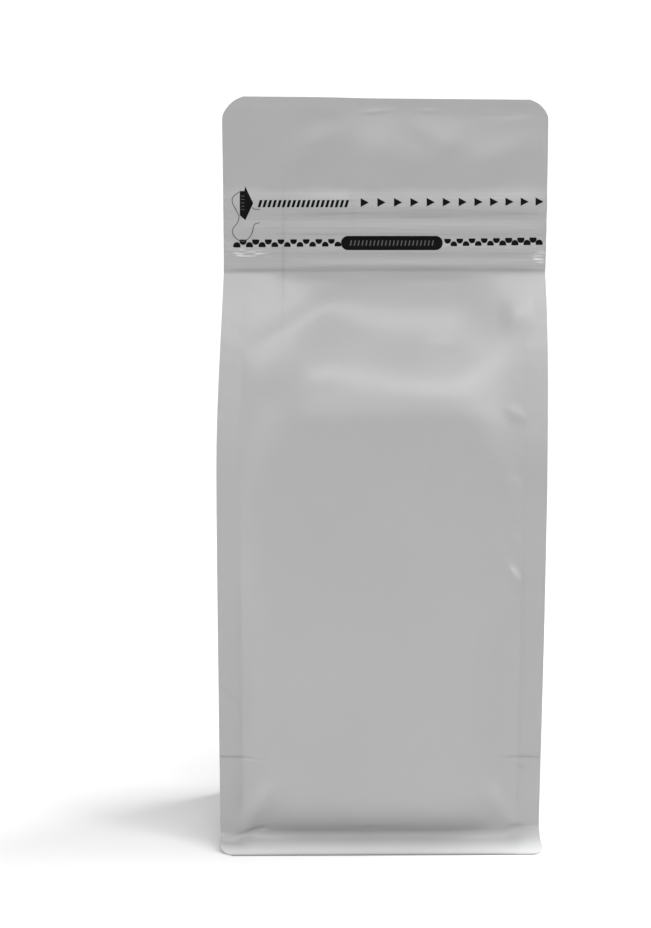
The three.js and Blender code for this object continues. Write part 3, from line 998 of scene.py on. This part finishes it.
def outline_shape(points):
    """A flat face in the front's plane, from the corners of its outline."""
    shape = bmesh.new()
    shape.faces.new([shape.verts.new((u, 0, z)) for u, z in points])
    return shape


def join_shape(target, part):
    """Adds the part's faces to the target."""
    mesh = bpy.data.meshes.new("part")
    part.to_mesh(mesh)
    part.free()
    target.from_mesh(mesh)
    bpy.data.meshes.remove(mesh)


def print_on_film(name, shape, material, lift=INK_LIFT):
    """Lays a flat shape on the front film, as a thin closed layer."""
    bmesh.ops.triangulate(shape, faces=shape.faces[:])
    for _ in range(INK_CUTS):
        long_edges = [e for e in shape.edges if e.calc_length() > INK_CELL]
        if not long_edges:
            break
        bmesh.ops.subdivide_edges(shape, edges=long_edges, cuts=1)
        bmesh.ops.triangulate(shape, faces=[f for f in shape.faces if len(f.verts) > 3])
    for vert in shape.verts:
        z = vert.co.z
        start = Vector((vert.co.x + lean_at(z), RAY_FROM, z)) * MM
        hit = film_tree.ray_cast(start, Vector((0, 1, 0)))[0]
        vert.co = hit + Vector((0, -lift * MM, 0))
    shape.normal_update()
    for face in shape.faces:
        if face.normal.y > 0:
            face.normal_flip()
    bmesh.ops.solidify(shape, geom=shape.faces[:], thickness=INK_THICKNESS * MM)
    bmesh.ops.recalc_face_normals(shape, faces=shape.faces[:])
    piece = new_object(name, shape, material)
    piece.data.set_sharp_from_angle(angle=SHARP_EDGE)
    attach(piece, "root")


# The pull tab: a block with an arrow head
ARROW_MIDDLE = 290.8
ARROW_LEFT = -65.3
ARROW_NECK = -63.2

# Its upper half: place across, and height above its middle
ARROW_HALF = ((ARROW_LEFT, 5.4), (ARROW_NECK, 5.4), (-62.9, 7.5), (-61.7, 5.0), (-59.3, 0))
arrow_up = [(u, ARROW_MIDDLE + rise) for u, rise in ARROW_HALF]
arrow_down = [(u, ARROW_MIDDLE - rise) for u, rise in ARROW_HALF[-2::-1]]
print_on_film("arrow_print", outline_shape(arrow_up + arrow_down), ink_black)

# Short lines across the block
TICK_LEFT = ARROW_LEFT + 0.7
TICK_WIDTH = 0.3
TICK_PITCH = 1.5
TICK_STEPS = (-2, -1, 0, 1, 2)
ticks = bmesh.new()
for step in TICK_STEPS:
    z = ARROW_MIDDLE + TICK_PITCH * step
    join_shape(ticks, outline_shape((
        (TICK_LEFT, z), (ARROW_NECK, z), (ARROW_NECK, z + TICK_WIDTH), (TICK_LEFT, z + TICK_WIDTH),
    )))
print_on_film("arrow_ticks_print", ticks, ink_grey, 2 * INK_LIFT)

# The scored line round the pull tab: two open loops and the start of the tear line
LOOPS = (
    (-65.6, 295.8), (-68.3, 293.6), (-68.6, 290.8), (-66.7, 287.3), (-65.7, 285.0), (-66.5, 282.1),
    (-68.4, 279.6), (-68.6, 277.2), (-66.4, 274.6), (-63.8, 273.9), (-61.5, 275.2), (-59.9, 277.7),
    (-59.2, 280.6), (-58.2, 281.8), (-56.3, 282.1),
)
TEAR_START = ((-59.6, 288.9), (-59.1, 288.3), (-58.3, 288.1), (-56.3, 288.1))
SCORE_WIDTH = 0.32
SCORE_CUTS = 4  # pieces of the curve between two of these points


def smooth_path(points, cuts):
    """Points on a smooth curve through the given points."""
    path = []
    last = len(points) - 1
    for n in range(last):
        before, start, end, after = (Vector(points[clamp(m, 0, last)]) for m in (n - 1, n, n + 1, n + 2))
        for cut in range(cuts):
            t = cut / cuts
            path.append(0.5 * (
                2 * start + (end - before) * t + (2 * before - 5 * start + 4 * end - after) * t ** 2
                + (3 * start - before - 3 * end + after) * t ** 3
            ))
    return path + [Vector(points[last])]


def ribbon(points, width):
    """A narrow strip along a path, made by pulling one cross edge along it."""
    path = smooth_path(points, SCORE_CUTS)
    strip = bmesh.new()
    front = None
    for n, point in enumerate(path):
        heading = (path[min(n + 1, len(path) - 1)] - path[max(n - 1, 0)]).normalized()
        across_path = Vector((-heading.y, heading.x)) * (width / 2)
        ends = [point + across_path, point - across_path]
        pair = [strip.verts.new((end.x, 0, end.y)) for end in ends]
        if front:
            strip.faces.new((front[0], front[1], pair[1], pair[0]))
        front = pair
    return strip


score = ribbon(LOOPS, SCORE_WIDTH)
join_shape(score, ribbon(TEAR_START, SCORE_WIDTH))
print_on_film("score_line_print", score, ink_grey)


def slanted_bars(first, last, count, low_z, high_z, width, slant_by):
    """A row of slanted bars, as a plain pattern where a line of print would be."""
    bars = bmesh.new()
    for n in range(count):
        u = lerp(first, last, n / (count - 1))
        join_shape(bars, outline_shape((
            (u - slant_by / 2, low_z), (u + width - slant_by / 2, low_z),
            (u + width + slant_by / 2, high_z), (u + slant_by / 2, high_z),
        )))
    return bars


# A row of bars: first and last place across, count, low and high edge, width, and slant
BARS = (-56.8, -18.0, 19, 289.0, 292.2, 1.2, 1.0)
print_on_film("bars_print", slanted_bars(*BARS), ink_black)

TRIANGLE_FIRST = -11.1
TRIANGLE_PITCH = 7.54
TRIANGLE_CROWDING = 0.036  # the row crowds a little towards the right
TRIANGLE_COUNT = 12
TRIANGLE_LENGTH = 3.6
TRIANGLE_HEIGHTS = (3.9, 3.6)  # of the first and the last one
TRIANGLE_MIDDLES = (291.1, 291.5)
triangles = bmesh.new()
for n in range(TRIANGLE_COUNT):
    share = n / (TRIANGLE_COUNT - 1)
    u = TRIANGLE_FIRST + TRIANGLE_PITCH * n - TRIANGLE_CROWDING * n ** 2
    half = lerp(*TRIANGLE_HEIGHTS, share) / 2
    z = lerp(*TRIANGLE_MIDDLES, share)
    join_shape(triangles, outline_shape(((u, z - half), (u + TRIANGLE_LENGTH, z), (u, z + half))))
print_on_film("triangles_print", triangles, ink_black)

DOT_RADIUS = (1.5, 1.64)  # next to the pill, and at the ends of the rows
DOT_GROWS = (44.0, 60.0)  # distances from the middle between which it grows
DOT_SIDES = 16
DOT_CUT = 0.37  # the flat side lies this share of the radius below the middle
DOT_STRETCH = 1.05  # the dots are this much taller than wide


def half_dot(u, z, radius, pointing):
    """A round dot with one side cut flat: pointing 1 is a dome, -1 a bowl."""
    dot = bmesh.new()
    bmesh.ops.create_circle(dot, cap_ends=True, radius=radius, segments=DOT_SIDES)
    bmesh.ops.bisect_plane(
        dot, geom=dot.verts[:] + dot.edges[:] + dot.faces[:], plane_co=(0, -DOT_CUT * radius, 0),
        plane_no=(0, -1, 0), clear_outer=True,
    )
    for vert in dot.verts:
        vert.co = Vector((u + vert.co.x, 0, z + pointing * DOT_STRETCH * vert.co.y))
    return dot


# Rows of half dots left of the pill and right of it: first and last place across, first and last height,
# count, and 1 for domes or -1 for bowls
DOT_ROWS = (
    (-66.8, -21.3, 271.8, 272.2, 9, 1),
    (-64.0, -24.2, 274.0, 274.3, 8, -1),
    (28.2, 66.8, 274.4, 274.9, 8, -1),
    (31.0, 69.6, 272.3, 272.9, 8, 1),
)
dots = bmesh.new()
for first, last, first_z, last_z, count, pointing in DOT_ROWS:
    for n in range(count):
        share = n / (count - 1)
        u = lerp(first, last, share)
        radius = lerp(*DOT_RADIUS, smooth(*DOT_GROWS, abs(u)))
        join_shape(dots, half_dot(u, lerp(first_z, last_z, share), radius, pointing))
print_on_film("dots_print", dots, ink_black)

PILL_FIRST = -19.9
PILL_LAST = 26.0
PILL_MIDDLE = 273.1
PILL_HEIGHT = 6.3
PILL_GRID = (46, 10)


def pill_shape(first, last, middle, height):
    """A bar with round ends, cut into a grid whose rows crowd towards its long edges."""
    pill = bmesh.new()
    columns, rows = PILL_GRID
    bmesh.ops.create_grid(pill, x_segments=columns, y_segments=rows, size=0.5)
    radius = height / 2
    for vert in pill.verts:
        z = radius * math.sin(math.pi * vert.co.y)
        half = (last - first) / 2 - radius + math.sqrt(max(0.0, radius ** 2 - z ** 2))
        vert.co = Vector(((first + last) / 2 + 2 * vert.co.x * half, 0, middle + z))
    return pill


pill = pill_shape(PILL_FIRST, PILL_LAST, PILL_MIDDLE, PILL_HEIGHT)
print_on_film("pill_print", pill, ink_black)

# The same for the fine bars on the pill
FINE_BARS = (PILL_FIRST + 4.2, PILL_LAST - 4.8, 22, PILL_MIDDLE - 1.2, PILL_MIDDLE + 1.2, 0.55, 0.5)
print_on_film("fine_bars_print", slanted_bars(*FINE_BARS), ink_grey, 2 * INK_LIFT)

# -------- Floor, light and camera

FLOOR_SIZE = 1.5  # metres, as the softboxes' sizes and distances are
FLOOR_TONE = 0.8
FLOOR_TONE_SEEN = 0.77  # as the camera sees it
ROOM_LIGHT = 0.15
ROOM_LIGHT_SEEN = 1.1  # as the camera sees it
floor_grid = bmesh.new()
bmesh.ops.create_grid(floor_grid, x_segments=1, y_segments=1, size=FLOOR_SIZE)


def build_floor_white():
    """A matt white floor. The camera sees it a shade darker than it lights the pouch."""
    material, tree, shader = new_material("floor_white")
    nodes, links = tree.nodes, tree.links
    nodes.remove(shader)
    seen = nodes.new("ShaderNodeLightPath")
    tone = nodes.new("ShaderNodeMix")
    tone.data_type = "RGBA"
    tone.inputs["A"].default_value = (FLOOR_TONE, FLOOR_TONE, FLOOR_TONE, 1)
    tone.inputs["B"].default_value = (FLOOR_TONE_SEEN, FLOOR_TONE_SEEN, FLOOR_TONE_SEEN, 1)
    links.new(seen.outputs["Is Camera Ray"], tone.inputs["Factor"])
    matte = nodes.new("ShaderNodeBsdfDiffuse")
    links.new(tone.outputs["Result"], matte.inputs["Color"])
    links.new(matte.outputs["BSDF"], nodes["Material Output"].inputs["Surface"])
    return material


floor = new_object("floor", floor_grid, build_floor_white())


def build_studio():
    """A dim white room round the softboxes. The camera sees it as plain white."""
    studio = bpy.data.worlds.new("studio")
    studio.use_nodes = True
    nodes = studio.node_tree.nodes
    links = studio.node_tree.links
    seen = nodes.new("ShaderNodeLightPath")
    strength = nodes.new("ShaderNodeMapRange")
    strength.inputs["To Min"].default_value = ROOM_LIGHT
    strength.inputs["To Max"].default_value = ROOM_LIGHT_SEEN
    links.new(seen.outputs["Is Camera Ray"], strength.inputs["Value"])
    nodes["Background"].inputs["Color"].default_value = (1, 1, 1, 1)
    links.new(strength.outputs["Result"], nodes["Background"].inputs["Strength"])
    return studio


bpy.context.scene.world = build_studio()

SOFTBOX_DISTANCE = 6.0

# Softboxes: name, azimuth and elevation in degrees, width and height, and power in watts
SOFTBOXES = (
    ("key", 0, 60, 2.8, 2.8, 108),
    ("front", 45, 35, 2.8, 2.8, 44),
    ("front_low", 5, 26, 3.4, 2.0, 38),
    ("right_above", 60, 60, 3.0, 2.8, 102),
    ("left_side", -62, 14, 1.6, 3.2, 280),
    ("right_side", 62, 14, 1.6, 3.2, 168),
    ("far_left", -85, 25, 2.0, 3.0, 48),
    ("far_right", 108, 50, 2.8, 2.8, 265),
    ("behind", 180, 50, 3.0, 2.0, 40),
)


def direction(azimuth, elevation):
    """The way out from the pouch. Azimuth 0 is in front of it, and 90 is to its right."""
    turn, tilt = math.radians(azimuth), math.radians(elevation)
    return Vector((math.sin(turn) * math.cos(tilt), -math.cos(turn) * math.cos(tilt), math.sin(tilt)))


def softbox(name, azimuth, elevation, width, height, power):
    """A rectangular area light that faces the pouch."""
    away = direction(azimuth, elevation)
    lamp = bpy.data.lights.new(name, "AREA")
    lamp.shape = "RECTANGLE"
    lamp.size = width
    lamp.size_y = height
    lamp.energy = power
    box = bpy.data.objects.new(name, lamp)
    box.location = Vector((0, 0, HEIGHT * MM / 2)) + away * SOFTBOX_DISTANCE
    box.rotation_euler = away.to_track_quat("Z", "Y").to_euler()
    bpy.context.scene.collection.objects.link(box)


for values in SOFTBOXES:
    softbox(*values)

CAMERA_TARGET = Vector((-25.64, 0, 171.86)) * MM
CAMERA_DISTANCE = 0.720
CAMERA_ELEVATION = 9.02
CAMERA_AZIMUTH = -0.57
CAMERA_LENS = 60.39
CAMERA_SENSOR = 36.0

back = direction(CAMERA_AZIMUTH, CAMERA_ELEVATION)
camera = bpy.data.objects.new("camera", bpy.data.cameras.new("camera"))
camera.data.lens = CAMERA_LENS
camera.data.sensor_width = CAMERA_SENSOR
camera.location = CAMERA_TARGET + back * CAMERA_DISTANCE
camera.rotation_euler = (-back).to_track_quat("-Z", "Y").to_euler()
camera.data.clip_start = 0.01
camera.data.clip_end = 50
bpy.context.scene.collection.objects.link(camera)
bpy.context.scene.camera = camera
bpy.context.scene.view_settings.view_transform = "Standard"
